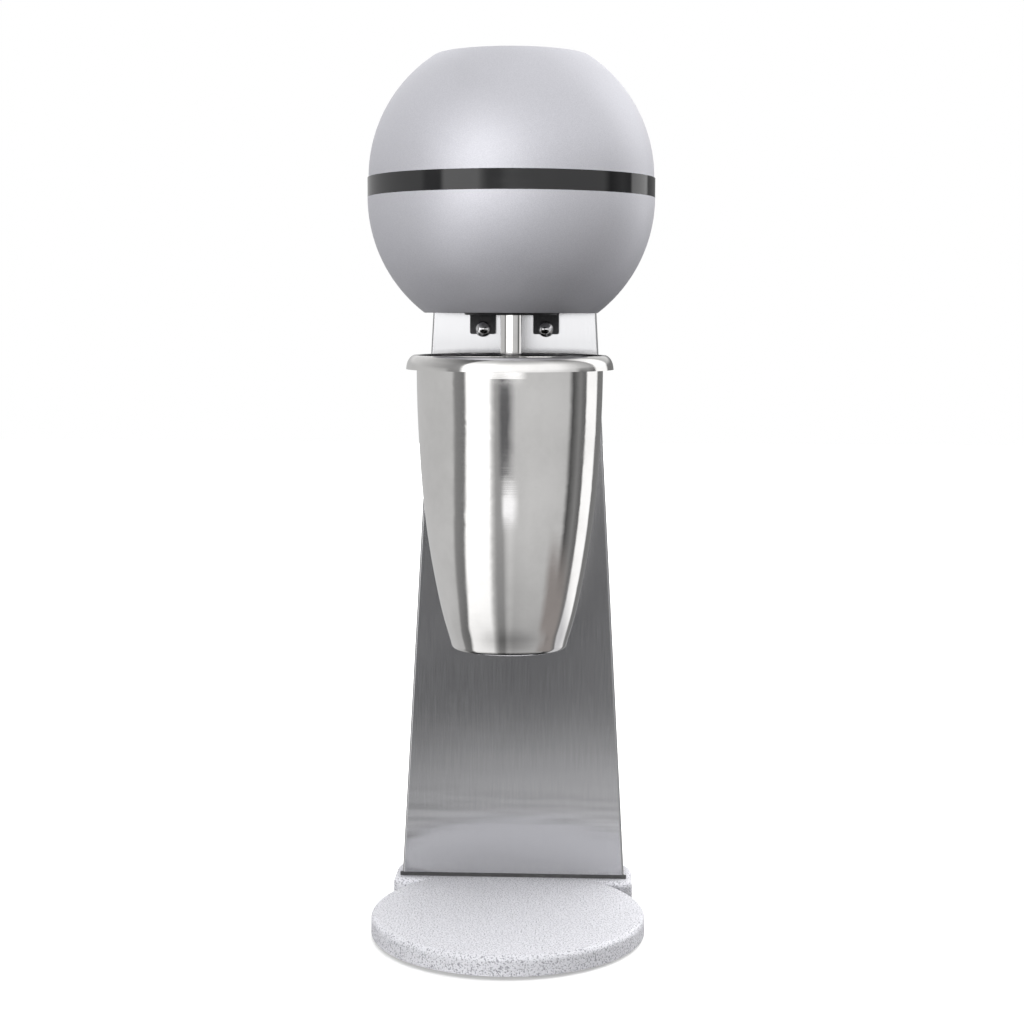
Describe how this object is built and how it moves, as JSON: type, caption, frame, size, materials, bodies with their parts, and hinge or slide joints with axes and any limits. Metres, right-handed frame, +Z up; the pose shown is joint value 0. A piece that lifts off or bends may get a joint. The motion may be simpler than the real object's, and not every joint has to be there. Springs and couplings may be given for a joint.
{
  "type": "milkshake mixer",
  "caption": "Single-spindle milkshake mixer: ball-shaped motor head on a stainless column, hanging steel cup, round-fronted cast base.",
  "frame": {"origin": "on the table under the middle of the footprint, between the rubber feet", "axes": "+Z up along the spindle, -Y to the front where the cup hangs, +X to the right as seen from the front"},
  "size_m": [0.16, 0.18, 0.494],
  "materials": {
    "painted_silver": "satin metallic silver paint",
    "textured_silver": "textured silver paint with fine dark speckle",
    "gloss_black": "polished",
    "black_plastic": "moulded",
    "black_metal": "satin black",
    "brushed_stainless": "vertical brushing",
    "polished_stainless": "mirror polish",
    "plated_steel": "bright zinc plate",
    "bright_screws": "bright plated",
    "black_rubber": "moulded",
    "cast_aluminium": "as cast",
    "laminations": "stacked sheets, lightly oiled",
    "copper": "enamelled wire and bare copper",
    "brass": "drawn brass",
    "carbon": "pressed carbon",
    "bearing_steel": "ground",
    "white_plastic": "moulded",
    "blue_plastic": "moulded box"
  },
  "bodies": {
    "frame": {"base_casting": "textured_silver", "rubber_feet": "black_rubber", "foot_screws": "plated_steel", "column_gasket": "black_rubber", "column_front": "brushed_stainless", "column_back_cover": "brushed_stainless", "back_cover_screws": "bright_screws", "column_foot_bolts": "plated_steel", "column_foot_nuts": "plated_steel", "upper_shell": "painted_silver", "band_ring": "gloss_black", "lower_shell": "painted_silver", "underside_cover": "black_plastic", "underside_screws": "bright_screws", "spindle_seal": "black_rubber", "tie_bolt": "plated_steel", "top_plug": "black_plastic", "motor_bracket": "black_metal", "ear_screws": "bright_screws", "flange_bolts": "plated_steel", "lower_motor_frame": "cast_aluminium", "upper_motor_frame": "cast_aluminium", "motor_screws": "plated_steel", "stator_core": "laminations", "field_coils": "copper", "lower_bearing": "bearing_steel", "upper_bearing": "bearing_steel", "brush_holders": "brass", "carbon_brushes": "carbon", "brush_springs": "bearing_steel", "hook_pin": "bearing_steel", "hook_bracket": "plated_steel", "hook_spring": "bearing_steel", "cup_switch": "black_plastic", "switch_screws": "plated_steel", "cup_bumper": "black_rubber", "bumper_screw": "plated_steel", "rocker_frame": "black_plastic", "cord_gland": "black_plastic", "terminal_block": "white_plastic", "terminal_screws": "brass", "capacitor": "blue_plastic", "internal_leads": "white_plastic", "lead_grommets": "black_rubber"},
    "rotor": {"armature_core": "laminations", "armature_winding": "copper", "armature_shaft": "bearing_steel", "commutator": "copper", "cooling_fan": "black_plastic", "spindle": "polished_stainless", "agitator": "polished_stainless", "agitator_nut": "polished_stainless"},
    "cup": {"cup": "polished_stainless"},
    "cup_hook": {"cup_hook": "brushed_stainless"},
    "switch_plunger": {"switch_plunger": "white_plastic"},
    "rocker_key": {"rocker_key": "black_plastic"}
  },
  "joints": [
    {"name": "spindle_spin", "type": "hinge", "parent": "frame", "child": "rotor", "pos_m": [0, 0.004, 0.3], "axis": [0, 0, 1], "continuous": true},
    {"name": "cup_lift", "type": "slide", "parent": "frame", "child": "cup", "axis": [0, 0, 1], "range_m": [0, 0.009]},
    {"name": "hook_lift", "type": "hinge", "parent": "frame", "child": "cup_hook", "pos_m": [0, 0.064, 0.3145], "axis": [-1, 0, 0], "range_deg": [0, 6.17]},
    {"name": "plunger_drop", "type": "slide", "parent": "frame", "child": "switch_plunger", "axis": [0, 0, -1], "range_m": [0, 0.000807]},
    {"name": "rocker_tilt", "type": "hinge", "parent": "frame", "child": "rocker_key", "pos_m": [0, 0.081, 0.262], "axis": [1, 0, 0], "range_deg": [0, 20]}
  ],
  "couplings": [
    {"joint": "hook_lift", "follows": "cup_lift", "rad_per_m": 11.947},
    {"joint": "plunger_drop", "follows": "cup_lift", "ratio": 0.089606}
  ]
}
